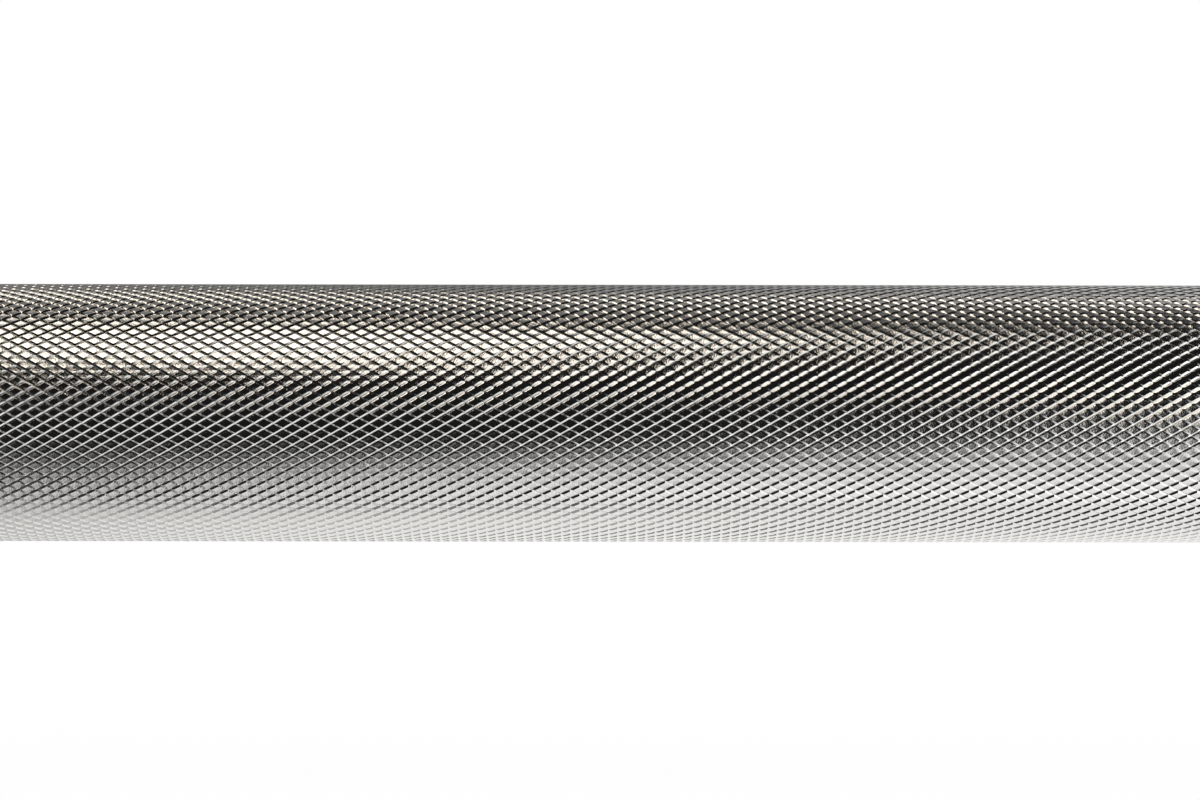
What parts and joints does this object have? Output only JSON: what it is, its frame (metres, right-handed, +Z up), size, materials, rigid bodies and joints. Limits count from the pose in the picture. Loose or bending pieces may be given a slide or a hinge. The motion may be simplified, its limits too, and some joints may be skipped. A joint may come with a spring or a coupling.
{
  "type": "olympic barbell",
  "caption": "Straight steel barbell: diamond-knurled shaft, fixed inner collars and free-spinning needle-bearing sleeves that carry round weight plates.",
  "frame": {"origin": "middle of the shaft, on its axis", "axes": "+X along the shaft towards the right sleeve, +Z up"},
  "size_m": [2.2, 0.078, 0.078],
  "materials": {
    "shaft_chrome": "bright chrome over a rolled diamond knurl",
    "sleeve_chrome": "turned and bright chromed",
    "collar_chrome": "turned and bright chromed",
    "bearing_steel": "hardened and ground",
    "cage_steel": "pressed and phosphated",
    "spacer_steel": "drawn tube, oiled",
    "ring_spring_steel": "phosphated spring steel",
    "washer_bronze": "machined bronze",
    "seal_rubber": "moulded nitrile rubber",
    "end_cap_anodised": "turned and black anodised"
  },
  "bodies": {
    "shaft": {"shaft": "shaft_chrome", "left_inner_thrust_washer": "washer_bronze", "left_outer_thrust_washer": "washer_bronze", "left_shaft_circlip": "ring_spring_steel", "right_inner_thrust_washer": "washer_bronze", "right_outer_thrust_washer": "washer_bronze", "right_shaft_circlip": "ring_spring_steel"},
    "left_sleeve": {"left_sleeve": "sleeve_chrome", "left_inner_collar": "collar_chrome", "left_dust_seal": "seal_rubber", "left_bearing_1_cup": "bearing_steel", "left_bearing_2_cup": "bearing_steel", "left_bearing_3_cup": "bearing_steel", "left_bearing_4_cup": "bearing_steel", "left_bearing_spacer": "spacer_steel", "left_bearing_snap_ring": "ring_spring_steel", "left_end_cap": "end_cap_anodised", "left_end_cap_circlip": "ring_spring_steel"},
    "left_bearing_1": {"left_bearing_1_cage": "cage_steel", "left_bearing_1_rollers": "bearing_steel"},
    "left_bearing_2": {"left_bearing_2_cage": "cage_steel", "left_bearing_2_rollers": "bearing_steel"},
    "left_bearing_3": {"left_bearing_3_cage": "cage_steel", "left_bearing_3_rollers": "bearing_steel"},
    "left_bearing_4": {"left_bearing_4_cage": "cage_steel", "left_bearing_4_rollers": "bearing_steel"},
    "right_sleeve": {"right_sleeve": "sleeve_chrome", "right_inner_collar": "collar_chrome", "right_dust_seal": "seal_rubber", "right_bearing_1_cup": "bearing_steel", "right_bearing_2_cup": "bearing_steel", "right_bearing_3_cup": "bearing_steel", "right_bearing_4_cup": "bearing_steel", "right_bearing_spacer": "spacer_steel", "right_bearing_snap_ring": "ring_spring_steel", "right_end_cap": "end_cap_anodised", "right_end_cap_circlip": "ring_spring_steel"},
    "right_bearing_1": {"right_bearing_1_cage": "cage_steel", "right_bearing_1_rollers": "bearing_steel"},
    "right_bearing_2": {"right_bearing_2_cage": "cage_steel", "right_bearing_2_rollers": "bearing_steel"},
    "right_bearing_3": {"right_bearing_3_cage": "cage_steel", "right_bearing_3_rollers": "bearing_steel"},
    "right_bearing_4": {"right_bearing_4_cage": "cage_steel", "right_bearing_4_rollers": "bearing_steel"}
  },
  "joints": [
    {"name": "left_sleeve_spin", "type": "hinge", "parent": "shaft", "child": "left_sleeve", "pos_m": [-0.87, 0, 0], "axis": [1, 0, 0], "continuous": true},
    {"name": "left_bearing_1_roll", "type": "hinge", "parent": "shaft", "child": "left_bearing_1", "pos_m": [-0.6813, 0, 0], "axis": [1, 0, 0], "continuous": true},
    {"name": "left_bearing_2_roll", "type": "hinge", "parent": "shaft", "child": "left_bearing_2", "pos_m": [-0.7013, 0, 0], "axis": [1, 0, 0], "continuous": true},
    {"name": "left_bearing_3_roll", "type": "hinge", "parent": "shaft", "child": "left_bearing_3", "pos_m": [-1.04825, 0, 0], "axis": [1, 0, 0], "continuous": true},
    {"name": "left_bearing_4_roll", "type": "hinge", "parent": "shaft", "child": "left_bearing_4", "pos_m": [-1.06825, 0, 0], "axis": [1, 0, 0], "continuous": true},
    {"name": "right_sleeve_spin", "type": "hinge", "parent": "shaft", "child": "right_sleeve", "pos_m": [0.87, 0, 0], "axis": [1, 0, 0], "continuous": true},
    {"name": "right_bearing_1_roll", "type": "hinge", "parent": "shaft", "child": "right_bearing_1", "pos_m": [0.6813, 0, 0], "axis": [1, 0, 0], "continuous": true},
    {"name": "right_bearing_2_roll", "type": "hinge", "parent": "shaft", "child": "right_bearing_2", "pos_m": [0.7013, 0, 0], "axis": [1, 0, 0], "continuous": true},
    {"name": "right_bearing_3_roll", "type": "hinge", "parent": "shaft", "child": "right_bearing_3", "pos_m": [1.04825, 0, 0], "axis": [1, 0, 0], "continuous": true},
    {"name": "right_bearing_4_roll", "type": "hinge", "parent": "shaft", "child": "right_bearing_4", "pos_m": [1.06825, 0, 0], "axis": [1, 0, 0], "continuous": true}
  ],
  "couplings": [
    {"joint": "left_bearing_1_roll", "follows": "left_sleeve_spin", "ratio": 0.54545},
    {"joint": "left_bearing_2_roll", "follows": "left_sleeve_spin", "ratio": 0.54545},
    {"joint": "left_bearing_3_roll", "follows": "left_sleeve_spin", "ratio": 0.54545},
    {"joint": "left_bearing_4_roll", "follows": "left_sleeve_spin", "ratio": 0.54545},
    {"joint": "right_bearing_1_roll", "follows": "right_sleeve_spin", "ratio": 0.54545},
    {"joint": "right_bearing_2_roll", "follows": "right_sleeve_spin", "ratio": 0.54545},
    {"joint": "right_bearing_3_roll", "follows": "right_sleeve_spin", "ratio": 0.54545},
    {"joint": "right_bearing_4_roll", "follows": "right_sleeve_spin", "ratio": 0.54545}
  ]
}
